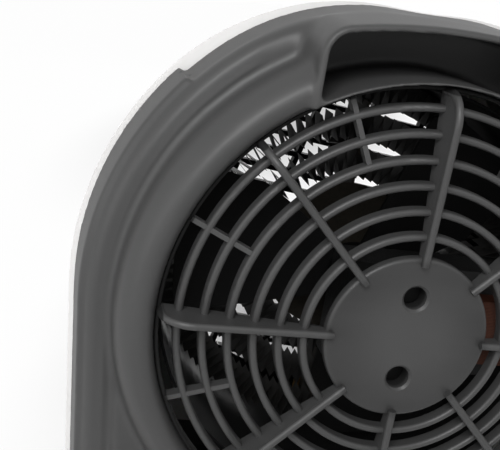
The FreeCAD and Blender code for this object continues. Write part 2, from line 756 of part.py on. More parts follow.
front_post_x = side_x(draft_inset(front_post_depth) + wall, floor_level) - size("post_radius") + size("post_bite")
for side in (-1, 1):
    front_openings.append(rod(
        "bush_hole", size("bush_radius") + size("screw_clearance"), parting, front + wall, knob_x * side, control_z))
    well_x = well_offset * side
    front_parts.append(rod(
        "front_screw_post", size("well_radius") - wall / 2, well_end + wall, front - wall / 2, well_x, well_z))
    front_openings.append(rod(
        "front_screw_hole", size("screw_radius") + size("screw_clearance") / 2, parting,
        well_end + size("screw_length") + clear, well_x, well_z))
    front_parts.append(base_post("front_post", front_post_x * side, front_post_depth))
    front_openings.append(base_post_hole("front_hole", front_post_x * side, front_post_depth))
sub_part("front_shell", cut(
    "front_shell_cut", joined("front_blank", *front_parts), *front_openings, under_floor("front_under")))

# Outlet grille: flanged disc with a slanting lattice
lattice_front = front - size("lattice_recess")
lattice_back = lattice_front - size("lattice_height")
outlet_disc = joined(
    "outlet_disc",
    rod("outlet_body", outlet_radius - clear, lattice_back, lattice_front),
    rod("outlet_flange_disc", outlet_radius + size("outlet_flange"), lattice_back, plate_back),
)


def lattice_cells():
    """Slanting openings inside the outlet's round field."""
    row = float(size("lattice_row"))
    column = float(size("lattice_column"))
    bar = float(size("lattice_bar"))
    field = float(outlet_radius - size("outlet_ring"))
    row_slope = math.tan(math.radians(float(size("row_slope"))))
    column_slope = math.tan(math.radians(float(size("column_slope"))))
    deep = float(size("lattice_height")) + 2 * bar
    start = -float(lattice_front) - bar
    disc = Part.makeCylinder(field, deep, Vector(0, start, 0), Vector(0, 1, 0))
    cells = []
    reach = int(field / row) + 3
    for level in range(-reach, reach + 1):
        for place in range(-reach, reach + 1):
            corners = []
            for across, up in ((0, 0), (1, 0), (1, 1), (0, 1)):
                along = column * place + (column - bar) * across
                rise = row * level + (row - bar) * up
                x = (along - column_slope * rise) / (1 + row_slope * column_slope)
                corners.append(Vector(x, start, rise + row_slope * x))
            if all(corner.x ** 2 + corner.z ** 2 > field ** 2 for corner in corners):
                continue
            cell = Part.Face(Part.makePolygon(corners + corners[:1])).extrude(Vector(0, deep, 0))
            for piece in cell.common(disc).Solids:
                if piece.Volume > bar * bar * deep:
                    cells.append(piece)
    return Part.makeCompound(cells)


sub_part("front_grille", cut("front_grille_cut", outlet_disc, made("lattice_cells", lattice_cells())))

# Base plate with screw recesses, feet and screws
base_low = floor_level - size("base_thickness")
base = new_body("base_body")
base_sketch = new_sketch(base, "base_outline", "XY_Plane", base_low)
base_x = side_x(size("base_margin"), floor_level)
base_front_x = side_x(edge_inset + size("base_margin"), floor_level)
base_rear_x = side_x(size("panel_inset") + size("base_margin"), floor_level)
base_step = -size("band_depth")
base_back = -size("base_rear_depth")
base_fore = size("base_front_gap") - front
corner = size("base_corner")
draw(base_sketch, [
    (base_front_x, base_fore + corner), (base_x, -parting), (base_x, base_step),
    (base_rear_x, base_back), (-base_rear_x, base_back), (-base_x, base_step),
    (-base_x, -parting), (-base_front_x, base_fore + corner, corner),
    (corner - base_front_x, base_fore), (base_front_x - corner, base_fore, corner),
])
add_pad(base, base_sketch, size("base_thickness"))
base_cuts = [post(
    "plunger_hole", size("plunger_radius") + clear, base_low - wall, floor_level + wall, 0, size("switch_depth"))]
base_screws = []
feet = []
head_seat = base_low + size("screw_head_height") * 0.8
for side in (-1, 1):
    for x, depth in ((front_post_x, front_post_depth), (rear_post_x, rear_post_depth)):
        base_cuts.append(post(
            "base_screw_hole", size("screw_radius") + size("screw_clearance"), base_low - wall,
            floor_level + wall, x * side, depth))
        base_cuts.append(post(
            "base_screw_recess", size("screw_head_radius") + size("screw_clearance"), base_low - wall, head_seat,
            x * side, depth))
        base_screws.append(joined(
            "base_screw",
            post("base_screw_head", size("screw_head_radius"), head_seat - size("screw_head_height") * 0.8,
                 head_seat, x * side, depth),
            post("base_screw_shank", size("screw_radius"), head_seat - size("screw_head_height") / 2,
                 floor_level + size("screw_length"), x * side, depth)))
    foot_x = (base_front_x - size("foot_inset")) * side
    for depth in (front - size("foot_front_gap"), size("foot_rear_depth")):
        feet.append(post(
            "foot", size("foot_tip_radius"), -size("hub_height"), base_low, foot_x, depth, tip=size("foot_radius")))
sub_part("base_plate", cut("base_cut", base, *base_cuts))
sub_part("rubber_feet", group("feet_group", *feet))
sub_part("base_screws", group("base_screw_group", *base_screws))
casing_screws = []
for side in (-1, 1):
    x = well_offset * side
    casing_screws.append(joined(
        "casing_screw",
        rod("casing_screw_head", size("screw_head_radius"), well_end - size("screw_head_height"), well_end, x, well_z),
        rod("casing_screw_shank", size("screw_radius"), well_end - size("screw_head_height") / 2,
            well_end + size("screw_length"), x, well_z)))
sub_part("casing_screws", group("casing_screw_group", *casing_screws))

# Cord inlet: flanged bush in the lower rear panel
gland_seat = size("panel_depth")
sub_part("cord_gland", cut(
    "gland_cut",
    joined(
        "gland_blank",
        rod("gland_flange_disc", size("gland_flange") - size("gland_flange_height") / 3,
            gland_seat - size("gland_flange_height"), gland_seat, size("gland_x"), gland_z, tip=size("gland_flange")),
        rod("gland_neck_bar", size("gland_neck"), gland_seat - size("gland_flange_height") / 2,
            gland_seat + size("gland_neck_length"), size("gland_x"), gland_z)),
    rod("gland_bore_bar", size("gland_bore"), 0, parting, size("gland_x"), gland_z)))

# Motor: laminated core with one wound limb, two bearing brackets, bushes, through screws and nuts
core_end = size("core_start") + size("core_stack")
bore = size("rotor_radius") + size("air_gap")
limb_start = size("window_start") + size("window_width")
limb_end = limb_start + size("limb_width")
screw_bore = size("motor_screw_radius") + size("screw_clearance")


def screw_pair(name, radius, start, end, tip=None):
    return [rod(name, radius, start, end, 0, screw_offset * side, tip) for side in (-1, 1)]


core_block = prism("core_block", rectangle(
    -limb_end, -size("core_half_height"), size("pole_half_width"), size("core_half_height")),
    size("core_start"), core_end)
core_window = block(
    "core_window", -limb_start, -size("window_start"), size("core_start") - wall, core_end + wall,
    -size("window_half_height"), size("window_half_height"))
core_bore = rod("core_bore", bore, size("core_start") - wall, core_end + wall)
sub_part("motor_core", cut(
    "core_cut", core_block, core_window, core_bore,
    *screw_pair("core_hole", screw_bore, size("core_start") - wall, core_end + wall)))

coil_gap = size("screw_clearance")
coil_half = size("window_half_height") - coil_gap
coil_block = prism("coil_block", [
    (-(limb_end + size("coil_build")), -coil_half), (-(size("window_start") + coil_gap), -coil_half),
    (-(size("window_start") + coil_gap), coil_half), (-(limb_end + size("coil_build")), coil_half),
], size("core_start") - size("coil_overhang"), core_end + size("coil_overhang"))
doc.recompute()
coil_round = rounded(
    "coil_rounded", coil_block, size("coil_overhang") * 0.8,
    lambda edge: edge.BoundBox.ZLength > 2 * coil_half.value - 0.1)
coil_slot = block(
    "coil_slot", -(limb_end + coil_gap), -(limb_start - coil_gap), size("core_start") - coil_gap,
    core_end + coil_gap, -coil_half * 2, coil_half * 2)
sub_part("motor_coil", cut("coil_cut", coil_round, coil_slot))


def bracket(name, plate_start, spacer_start, spacer_end, cup_start, cup_end):
    """Bearing bracket: a plate on two spacers, with a cup for the bearing bush."""
    width = size("bracket_half_width")
    reach = screw_offset + size("spacer_radius")
    shoulder = screw_offset - size("spacer_radius")
    plate = prism(f"{name}_plate", [
        (width / 2, -reach), (width, -shoulder), (width, shoulder), (width / 2, reach),
        (-width / 2, reach), (-width, shoulder), (-width, -shoulder), (-width / 2, -reach),
    ], plate_start, plate_start + size("bracket_plate"))
    spacers = screw_pair(f"{name}_spacer", size("spacer_radius"), spacer_start, spacer_end)
    cup = rod(f"{name}_cup", size("cup_radius"), cup_start, cup_end)
    deep = size("cup_length") * 4
    return cut(
        f"{name}_cut", joined(f"{name}_blank", plate, cup, *spacers),
        rod(f"{name}_bearing_bore", size("bearing_radius"), cup_start - deep, cup_end + deep),
        *screw_pair(f"{name}_hole", screw_bore, cup_start - deep, cup_end + deep))


rear_plate = size("boss_end")
rear_cup = rear_plate + size("bracket_plate") - size("cup_length")
front_gap = size("core_start") - rear_plate
front_bracket_end = core_end + front_gap
front_plate_start = front_bracket_end - size("bracket_plate")
sub_part("motor_rear_bracket", bracket(
    "rear_bracket", rear_plate, rear_plate, size("core_start"), rear_cup, rear_plate + size("bracket_plate")))
sub_part("motor_front_bracket", bracket(
    "front_bracket", front_plate_start, core_end, front_bracket_end, front_plate_start,
    front_plate_start + size("cup_length")))


def bearing(name, start):
    end = start + size("bearing_length")
    return cut(
        name, rod(f"{name}_bush", size("bearing_radius"), start, end),
        rod(f"{name}_bore", size("shaft_radius") + running, start - wall, end + wall))


sub_part("motor_bearings", group(
    "bearing_group", bearing("rear_bearing", rear_cup), bearing("front_bearing", front_plate_start)))
motor_screws = []
motor_nuts = []
nut_end = front_bracket_end + size("nut_height")
for side in (-1, 1):
    z = screw_offset * side
    motor_screws.append(joined(
        "motor_screw",
        rod("motor_screw_top", size("motor_screw_head"), boss_floor_depth - size("motor_screw_head_height"),
            boss_floor_depth, 0, z),
        rod("motor_screw_shank", size("motor_screw_radius"), boss_floor_depth - size("motor_screw_head_height") / 2,
            nut_end + clear, 0, z)))
    nut_corners = []
    for step in range(6):
        angle = as_size(60 * step)
        nut_corners.append((size("nut_radius") * cosine(angle), size("nut_radius") * sine(angle) + z))
    motor_nuts.append(cut(
        "motor_nut", prism("motor_nut_block", nut_corners, front_bracket_end, nut_end),
        rod("motor_nut_bore", size("motor_screw_radius") + running, front_bracket_end - wall, nut_end + wall, 0, z)))
sub_part("motor_screws", group("motor_screw_group", *motor_screws))
sub_part("motor_nuts", group("motor_nut_group", *motor_nuts))

# Rotor: shaft, slotted core, fan and its collet
sub_part("motor_shaft", rod("shaft", size("shaft_radius"), size("shaft_start"), size("shaft_end")))
shaft_bore = size("shaft_radius") + running
sub_part("rotor_core", cut(
    "rotor_cut", rod("rotor_bar", size("rotor_radius"), size("core_start"), core_end),
    rod("rotor_bore", shaft_bore, 0, size("shaft_end"))))
fan_end = size("fan_start") + size("fan_hub_length")
duct_radius = outlet_radius + size("outlet_flange") - size("duct_sheet") - clear
fan_hub = turned("fan_hub", [
    (shaft_bore, -fan_end), (size("fan_hub_radius") - wall, -fan_end, wall),
    (size("fan_hub_radius"), -(fan_end - wall)), (size("fan_hub_radius"), -size("fan_start")),
    (size("fan_hub_radius") - wall, -size("fan_start")), (size("fan_hub_radius") - wall, -(fan_end - wall)),
    (size("collet_radius"), -(fan_end - wall)), (size("collet_radius"), -(size("fan_start") + wall)),
    (shaft_bore, -(size("fan_start") + wall)),
])


def fan_blades():
    """Cambered blades set at a pitch round the hub, trimmed to the fan's circle."""
    camber = float(size("blade_camber_radius"))
    thick = float(size("blade_thickness"))
    half_angle = float(size("blade_chord")) / camber / 2
    inner = float(size("fan_hub_radius")) - float(wall) / 2
    tip = float(duct_radius - size("fan_clearance"))
    middle = -(float(size("fan_start")) + float(fan_end)) / 2

    def arc_at(radius):
        points = [Vector(radius * math.sin(turn), radius * math.cos(turn) - camber, 0)
                  for turn in (-half_angle, 0, half_angle)]
        return points

    outer = arc_at(camber + thick / 2)
    under = arc_at(camber - thick / 2)
    section = Part.Wire([
        Part.Arc(*outer).toShape(), Part.LineSegment(outer[2], under[2]).toShape(),
        Part.Arc(*reversed(under)).toShape(), Part.LineSegment(under[0], outer[0]).toShape(),
    ])
    blank = Part.Face(section).extrude(Vector(0, 0, tip * 1.2))
    blank.rotate(Vector(), Vector(0, 0, 1), float(size("blade_pitch")))
    blank.translate(Vector(0, middle, 0))
    deep = float(size("fan_hub_length") - wall)
    sweep = Part.makeCylinder(tip, deep, Vector(0, middle - deep / 2, 0), Vector(0, 1, 0))
    core = Part.makeCylinder(inner, deep * 3, Vector(0, middle - deep * 1.5, 0), Vector(0, 1, 0))
    root_half = float(size("blade_root")) / 2
    tip_half = float(size("blade_tip")) / 2
    corner = float(size("blade_tip_round"))
    outline = [(-root_half, inner / 2), (root_half, inner / 2), (tip_half, tip - corner), (tip_half - corner, tip * 1.1),
               (corner - tip_half, tip * 1.1), (-tip_half, tip - corner)]
    points = [Vector(x, middle - deep, z) for x, z in outline]
    plan = Part.Face(Part.makePolygon(points + points[:1])).extrude(Vector(0, deep * 2, 0))
    blade = blank.common(plan).common(sweep).cut(core)
    count = int(sheet.get("blade_count"))
    blades = []
    for step in range(count):
        copy = blade.Solids[0].copy()
        copy.rotate(Vector(), Vector(0, 1, 0), 360 / count * step + float(size("fan_rest_angle")))
        blades.append(made("fan_blade", copy))
    return blades


sub_part("fan_impeller", joined("fan_blank", fan_hub, *fan_blades(), refine=False))
sub_part("fan_collet", cut(
    "collet_cut", rod("collet_bar", size("collet_radius"), fan_end, fan_end + size("collet_length")),
    rod("collet_bore", shaft_bore, 0, size("shaft_end") * 2)))

# Air duct: sheet-metal tube between the fan and the outlet
duct_end = lattice_back
sub_part("air_duct", cut(
    "duct_cut", rod("duct_tube", duct_radius + size("duct_sheet"), size("duct_start"), duct_end),
    rod("duct_bore", duct_radius, 0, duct_end + wall)))

# Heating element: crossed mica boards with notches and a round cap, zigzag rows, terminals, cut-out and fuse
mica_end = size("mica_start") + size("mica_height")
mica_reach = duct_radius - clear
mica_half = size("mica_thickness") / 2
row_count = int(sheet.get("wire_rows"))
row_pitch = (duct_radius - size("last_row_gap") - size("first_row")) / (row_count - 1)
row_radii = [size("first_row") + row_pitch * step for step in range(row_count)]
notch_floor = size("mica_start") + size("notch_depth")
mica_notches = []
for radius in row_radii:
    low = radius - size("notch_half_width")
    high = radius + size("notch_half_width")
    for side in (-1, 1):
        near, far = (low, high) if side > 0 else (-high, -low)
        mica_notches.append(block(
            "notch_across", near, far, size("mica_start") - wall, notch_floor, -wall, wall))
        mica_notches.append(block(
            "notch_up", -wall, wall, size("mica_start") - wall, notch_floor, near, far))
sub_part("element_frame", cut(
    "mica_cut",
    joined("mica_cross",
           block("mica_across", -mica_reach, mica_reach, size("mica_start"), mica_end, -mica_half, mica_half),
           block("mica_up", -mica_half, mica_half, size("mica_start"), mica_end, -mica_reach, mica_reach),
           rod("mica_cap", size("cap_radius"), size("mica_start"), size("mica_start") + size("mica_thickness"))),
    *mica_notches))


def zigzag_row(radius):
    """One closed row of zigzag ribbon standing on its edge in the notches."""
    middle = float(radius)
    swing = float(size("wire_amplitude"))
    thick = float(size("wire_thickness")) / 2
    teeth = 4 * round(math.pi * middle / 2 / float(size("wire_tooth")))
    floor = -float(notch_floor)

    def star(shift):
        points = []
        for step in range(2 * teeth):
            reach = middle + shift + (swing if step % 2 else -swing)
            turn = math.pi * (step + 0.5) / teeth
            points.append(Vector(reach * math.cos(turn), floor, reach * math.sin(turn)))
        return Part.Face(Part.makePolygon(points + points[:1]))

    return star(thick).cut(star(-thick)).extrude(Vector(0, float(size("wire_width")), 0))


sub_part("heating_wires", made(
    "wire_rows_shape", Part.makeCompound([zigzag_row(radius).Solids[0] for radius in row_radii])))
tab_low = -mica_reach + clear * 2
tabs = []
for side in (-1, 1):
    near, far = mica_half * side, (mica_half + size("tab_thickness")) * side
    tabs.append(block(
        "terminal_tab", near if side > 0 else far, far if side > 0 else near, mica_end - size("tab_width"), mica_end,
        tab_low, tab_low + size("tab_length")))
sub_part("element_terminals", group("tab_group", *tabs))
sensor_depth = mica_end - size("cutout_radius") - size("screw_clearance")
cutout = doc.addObject("Part::Cylinder", "cutout_can")
cutout.Placement = Placement(Vector(), Rotation(Vector(0, 1, 0), 90))
bind(cutout, "Radius", size("cutout_radius"))
bind(cutout, "Height", size("cutout_length"))
bind_place(cutout, mica_half, -sensor_depth, size("cutout_height"))
sub_part("thermal_cutout", cutout)
fuse_x = -(mica_half + size("fuse_radius"))
sub_part("thermal_fuse", post(
    "fuse_can", size("fuse_radius"), size("fuse_height"), size("fuse_height") + size("fuse_length"), fuse_x,
    sensor_depth))

# Controls: thermostat and selector behind the front plate, each with a spindle, a nut and a knob
spindle_bore = size("spindle_radius") + running
knob_back = front + size("knob_gap")
knob_bore_start = knob_back + size("knob_recess")
bush_end = plate_back + size("bush_length")
spindle_end = knob_bore_start + size("knob_height") / 2
spindle_start = spindle_end - size("spindle_length")
nuts = []
for label, side, length in (
    ("thermostat", 1, size("thermostat_length")), ("selector", -1, size("selector_length")),
):
    x = knob_x * side
    half = size("control_side") / 2
    body = joined(
        f"{label}_blank",
        block(f"{label}_box", x - half, x + half, plate_back - length, plate_back, control_z - half, control_z + half),
        rod(f"{label}_bush", size("bush_radius"), plate_back - wall, bush_end, x, control_z))
    sub_part(f"{label}_body", cut(
        f"{label}_cut", body,
        rod(f"{label}_bore", spindle_bore, spindle_start - clear, knob_front, x, control_z)))
    sub_part(f"{label}_spindle", rod(
        f"{label}_spindle_bar", size("spindle_radius"), spindle_start, spindle_end, x, control_z))
    nut_points = []
    for step in range(6):
        angle = as_size(60 * step)
        nut_points.append((
            size("control_nut_radius") * cosine(angle) + x, size("control_nut_radius") * sine(angle) + control_z))
    nuts.append(cut(
        f"{label}_nut", prism(f"{label}_nut_block", nut_points, front, front + size("control_nut_height")),
        rod(f"{label}_nut_bore", size("bush_radius") + running, plate_back, knob_front, x, control_z)))
    skirt_end = knob_back + size("knob_skirt")
    grip_top = size("knob_radius") - size("knob_taper")
    grip_half = size("knob_grip_width") / 2
    skirt = rod(f"{label}_skirt", size("knob_radius"), knob_back, skirt_end, x, control_z, tip=grip_top)
    handle = shared(
        f"{label}_handle",
        rod(f"{label}_handle_bar", grip_top, knob_back, knob_front, x, control_z, tip=grip_top - size("knob_taper")),
        block(f"{label}_handle_block", x - grip_half, x + grip_half, knob_back, knob_front,
              control_z - size("knob_radius"), control_z + size("knob_radius")))
    core = rod(f"{label}_knob_core", size("knob_recess_radius") + wall, knob_back, knob_bore_start + wall, x, control_z)
    sub_part(f"{label}_knob", cut(
        f"{label}_knob_cut", joined(f"{label}_knob_blank", skirt, handle, core),
        rod(f"{label}_knob_recess", size("knob_recess_radius"), plate_back, knob_bore_start, x, control_z),
        rod(f"{label}_knob_bore", spindle_bore, plate_back, spindle_end + clear, x, control_z)))
sub_part("control_nuts", group("nut_group", *nuts))
lamp_end = front + size("lamp_rise")
sub_part("pilot_lamp", joined(
    "lamp_blank",
    rod("lamp_lens", size("lamp_radius"), plate_back - size("lamp_length"), lamp_end, 0, lamp_z),
    rod("lamp_rim", size("lamp_flange"), plate_back - wall, plate_back, 0, lamp_z)))

# Tip-over switch on the base plate, with a plunger that the floor holds up
switch_half = size("switch_length") / 2
switch_start = size("switch_depth") - size("switch_width") / 2
switch_top = floor_level + size("switch_height")
collar_low = floor_level + size("plunger_travel")
collar_high = collar_low + size("plunger_collar_height")
plunger_tip = clear - size("hub_height")
plunger_head = floor_level + size("plunger_top")
sub_part("tip_switch", cut(
    "switch_cut",
    block("switch_box", -switch_half, switch_half, switch_start, switch_start + size("switch_width"), floor_level,
          switch_top),
    post("switch_cavity", size("plunger_collar_radius") + clear, floor_level - wall, collar_high + clear, 0,
         size("switch_depth")),
    post("switch_bore", size("plunger_radius") + clear, floor_level - wall, plunger_head + clear, 0,
         size("switch_depth"))))
sub_part("tip_plunger", joined(
    "plunger_blank",
    post("plunger_stem", size("plunger_radius"), plunger_tip, plunger_head, 0, size("switch_depth")),
    post("plunger_collar", size("plunger_collar_radius"), collar_low, collar_high, 0, size("switch_depth"))))

# Terminal block on the base plate
block_half = size("block_length") / 2
way_pitch = size("block_length") / size("block_ways")
block_holes = []
for step in range(int(sheet.get("block_ways"))):
    way_x = size("block_x") - block_half + way_pitch * (step + 0.5)
    block_holes.append(rod(
        "block_way", size("block_way_radius"), 0, size("block_depth") + size("block_width") + wall, way_x,
        floor_level + size("block_height") / 2))
sub_part("terminal_block", cut(
    "block_cut",
    block("block_box", size("block_x") - block_half, size("block_x") + block_half, size("block_depth"),
          size("block_depth") + size("block_width"), floor_level, floor_level + size("block_height")),
    *block_holes))

# Check every object, then write the sub-parts
doc.recompute()
for thing in doc.Objects:
    if {"Invalid", "Error"} & set(thing.State):
        raise RuntimeError(f"{thing.Name} failed: {thing.State}")
os.makedirs("parts", exist_ok=True)
for thing in SUB_PARTS:
    shape = thing.Shape
    if shape.isNull() or not shape.isValid() or not shape.Solids:
        raise RuntimeError(f"{thing.Label} has no valid solid")
    shape.exportStep(f"parts/{thing.Label}.step")
    box = shape.BoundBox
    print(
        f"{thing.Label}: {len(shape.Solids)} solids, {shape.Volume / 1000:.2f} cm3, "
        f"X {box.XMin:.1f} {box.XMax:.1f} Y {box.YMin:.1f} {box.YMax:.1f} Z {box.ZMin:.1f} {box.ZMax:.1f}")
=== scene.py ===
import math

import bpy
import bmesh
import numpy
from mathutils import Matrix, Vector


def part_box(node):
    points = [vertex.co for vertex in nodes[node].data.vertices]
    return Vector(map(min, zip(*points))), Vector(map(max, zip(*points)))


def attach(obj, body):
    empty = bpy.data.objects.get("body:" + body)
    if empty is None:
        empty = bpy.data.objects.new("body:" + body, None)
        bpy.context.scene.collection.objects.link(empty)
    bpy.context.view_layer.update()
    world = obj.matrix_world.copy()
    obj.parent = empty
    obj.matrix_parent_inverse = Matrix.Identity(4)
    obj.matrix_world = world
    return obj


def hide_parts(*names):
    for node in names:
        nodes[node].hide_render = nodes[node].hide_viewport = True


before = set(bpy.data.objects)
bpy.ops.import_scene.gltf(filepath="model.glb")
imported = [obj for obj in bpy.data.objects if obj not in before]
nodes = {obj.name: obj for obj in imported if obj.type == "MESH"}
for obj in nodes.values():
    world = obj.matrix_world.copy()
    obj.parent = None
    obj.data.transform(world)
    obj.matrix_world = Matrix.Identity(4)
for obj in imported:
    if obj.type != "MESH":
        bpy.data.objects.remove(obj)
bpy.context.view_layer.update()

# Rear shell: one moulding in dark grey polypropylene, spark-eroded to a fine satin grain. It
# carries the collar round the inlet and the hooded grip pocket, and two long screws pull it
# onto the front shell.


class Signal:
    """A value on its way through a material's nodes, with the usual operators."""

    def __init__(self, finish, socket):
        self.finish = finish
        self.socket = socket

    def maths(self, operation, first, second):
        return self.finish.node("ShaderNodeMath", {"operation": operation}, {0: first, 1: second})

    def __add__(self, other):
        return self.maths("ADD", self, other)

    def __radd__(self, other):
        return self.maths("ADD", other, self)

    def __sub__(self, other):
        return self.maths("SUBTRACT", self, other)

    def __rsub__(self, other):
        return self.maths("SUBTRACT", other, self)

    def __mul__(self, other):
        return self.maths("MULTIPLY", self, other)

    def __rmul__(self, other):
        return self.maths("MULTIPLY", other, self)


class Finish:
    """A material under construction: its nodes, and the shader that they feed."""

    def __init__(self, name, tree=None):
        if tree is None:
            self.material = bpy.data.materials.new(name)
            self.material.use_nodes = True
            tree = self.material.node_tree
        self.tree = tree
        self.surface = tree.nodes.get("Principled BSDF")

    def put(self, socket, value):
        if isinstance(value, Signal):
            self.tree.links.new(value.socket, socket)
        else:
            socket.default_value = value

    def node(self, kind, settings=None, sockets=None, output=0):
        made = self.tree.nodes.new(kind)
        for key, value in (settings or {}).items():
            setattr(made, key, value)
        for key, value in (sockets or {}).items():
            self.put(made.inputs[key], value)
        return Signal(self, made.outputs[output])

    def set(self, **sockets):
        for key, value in sockets.items():
            self.put(self.surface.inputs[key.replace("_", " ")], value)

    def place(self):
        return self.node("ShaderNodeTexCoord", output="Object")

    def length(self, vector):
        return self.node(
            "ShaderNodeVectorMath", {"operation": "LENGTH"}, {0: vector}, output="Value")

    def noise(self, scale, detail=2.0, stretch=(1, 1, 1)):
        spot = self.node("ShaderNodeMapping", {}, {"Vector": self.place(), "Scale": stretch})
        return self.node(
            "ShaderNodeTexNoise", {}, {"Vector": spot, "Scale": scale, "Detail": detail})

    def blend(self, share, first, second):
        return self.node(
            "ShaderNodeMix", {"data_type": "RGBA"}, {"Factor": share, 6: first, 7: second},
            output=2)

    def fade(self, amount, start, end):
        """0 before the start and 1 after the end, with a soft step between."""
        return self.node(
            "ShaderNodeMapRange", {"interpolation_type": "SMOOTHSTEP"},
            {"Value": amount, "From Min": start, "From Max": end})

    def relief(self, height, depth):
        return self.node("ShaderNodeBump", {}, {"Height": height, "Distance": depth})


def grey(level, warm=0.0):
    return (level * (1 + warm), level, level * (1 - warm), 1.0)


def shade(colour, factor):
    """A colour made darker or lighter."""
    return tuple(min(channel * factor, 1.0) for channel in colour[:3]) + (1.0,)


FLOW_CLOUDS = 38
ERODED_GRAIN = 2600
GRAIN_DEPTH = 0.00002


def moulded_plastic(name, colour, rough, grain=GRAIN_DEPTH, cloud=0.12, gloss=0.5):
    """Injection-moulded plastic: even colour with faint flow clouds, and a fine eroded grain."""
    finish = Finish(name)
    clouds = finish.noise(FLOW_CLOUDS, detail=3.0)
    fine = finish.noise(ERODED_GRAIN)
    finish.set(
        Base_Color=finish.blend(clouds, shade(colour, 1 - cloud), shade(colour, 1 + cloud)),
        Roughness=rough - 0.06 + 0.08 * clouds + 0.05 * fine,
        Normal=finish.relief(fine, grain),
        Specular_IOR_Level=gloss,
    )
    return finish.material


def dress(material, *names):
    for name in names:
        slots = nodes[name].data.materials
        if not slots:
            slots.append(material)
        for index in range(len(slots)):
            slots[index] = material


HUB = (0.0, 0.06205, 0.152)
CASING_GREY = grey(0.044)
MOULD_STEP = 0.0008
MOULD_PULL = 0.5
MOULD_PASSES = 4
BLEND_PASSES = 36
MOULD_KEEP = 0.45
# Distances from the hub: where the extra softness starts, and where it is full.
VALLEY_INSIDE = (0.083, 0.086)
VALLEY_OUTSIDE = (0.0905, 0.0885)
VALLEY_DEPTH = (0.010, 0.014)
HOOD_FOOT = (0.050, 0.060)
HOOD_ENDS = (0.056, 0.050)
HOOD_ROOT = (0.0075, 0.011)
HOOD_LIP = (0.030, 0.026)
POCKET_ENDS = (0.0385, 0.0405)
POCKET_TOP = (0.0895, 0.0915)


def smooth_ramp(amount, start, end):
    share = numpy.clip((amount - start) / (end - start), 0.0, 1.0)
    return share * share * (3 - 2 * share)


def extra_softness(spots):
    """1 in the collar's valley and where the grip's hood grows out of the rim, and 0 elsewhere."""
    across = numpy.abs(spots[:, 0] - HUB[0])
    depth = HUB[1] - spots[:, 1]
    up = spots[:, 2] - HUB[2]
    ring = numpy.hypot(across, up)
    valley = smooth_ramp(ring, *VALLEY_INSIDE) * smooth_ramp(ring, *VALLEY_OUTSIDE)
    valley *= smooth_ramp(depth, *VALLEY_DEPTH)
    hood = smooth_ramp(up, *HOOD_FOOT) * smooth_ramp(across, *HOOD_ENDS)
    hood *= smooth_ramp(depth, *HOOD_ROOT)
    hood *= smooth_ramp(across, *POCKET_ENDS) + smooth_ramp(up, *POCKET_TOP)
    hood *= smooth_ramp(depth, *HOOD_LIP)
    return numpy.clip(numpy.maximum(valley, hood), 0.0, 1.0)


def reworked(mesh, kind, **settings):
    """The mesh that a modifier of one kind makes of another."""
    blank = bpy.data.objects.new("blank", mesh)
    bpy.context.scene.collection.objects.link(blank)
    step = blank.modifiers.new("step", kind)
    for key, value in settings.items():
        setattr(step, key, value)
    graph = bpy.context.evaluated_depsgraph_get()
    made = bpy.data.meshes.new_from_object(blank.evaluated_get(graph))
    bpy.data.objects.remove(blank)
    return made


def mould_radii(node):
    """A copy of a moulding with its corners run soft, as a worn mould gives them."""
    data = reworked(nodes[node].data.copy(), "REMESH", mode="VOXEL", voxel_size=MOULD_STEP)
    count = len(data.vertices)
    spots = numpy.empty(count * 3)
    data.vertices.foreach_get("co", spots)
    spots = spots.reshape(count, 3)
    pairs = numpy.empty(len(data.edges) * 2, dtype=numpy.int32)
    data.edges.foreach_get("vertices", pairs)
    first, second = pairs.reshape(-1, 2).T
    links = numpy.bincount(pairs, minlength=count)
    softness = extra_softness(spots)
    for turn in range(BLEND_PASSES):
        pull = MOULD_PULL * (numpy.ones(count) if turn < MOULD_PASSES else softness)
        for axis in range(3):
            level = spots[:, axis]
            total = numpy.bincount(first, level[second], count)
            total += numpy.bincount(second, level[first], count)
            level += pull * (total / links - level)
    data.vertices.foreach_set("co", spots.ravel())
    data.update()
    lean = reworked(data, "DECIMATE", ratio=MOULD_KEEP)
    lean.polygons.foreach_set("use_smooth", numpy.ones(len(lean.polygons), dtype=bool))
    lean.update()
    return lean


def add_piece(name, data, material, body):
    data.name = name
    data.materials.clear()
    data.materials.append(material)
    piece = bpy.data.objects.new(name, data)
    bpy.context.scene.collection.objects.link(piece)
    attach(piece, body)
    return piece


CASING = moulded_plastic("rear_casing_plastic", CASING_GREY, rough=0.46, gloss=0.3)
dress(CASING, "rear_shell")
shell = add_piece(
    "rear_shell_moulding", mould_radii("rear_shell"), CASING, "casing")
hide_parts("rear_shell")

# Inlet grille: the same dark grey plastic in a mould of its own, dropped into the shell's rim.
# The hub is painted darker towards its edge by the fins' ends, a painted shade streaked with flow
# lines; the bores for the motor's screws and the seated rim are painted near black and rougher,
# also painted shade.
HUB_RADIUS = 0.026
HUB_INSIDE = HUB_RADIUS - 0.0015
HUB_OUTSIDE = HUB_RADIUS + 0.0005
HUB_SHADE_START = 0.005
BORE_MOUTH = HUB[1] - 0.0012
BORE_DARK = HUB[1] - 0.003
RIM_START = 0.0740
RIM_END = 0.0744
GRILLE_DARK = grey(0.036)
GRILLE_PALE = grey(0.048)
# Painted shade: the grey that the hub darkens to at its edge, by the fins' ends.
HUB_SHADE_GREY = grey(0.02)
# Painted shade: the near black put into the screw bores and onto the seated rim ring.
SHADE_BLACK = grey(0.003)


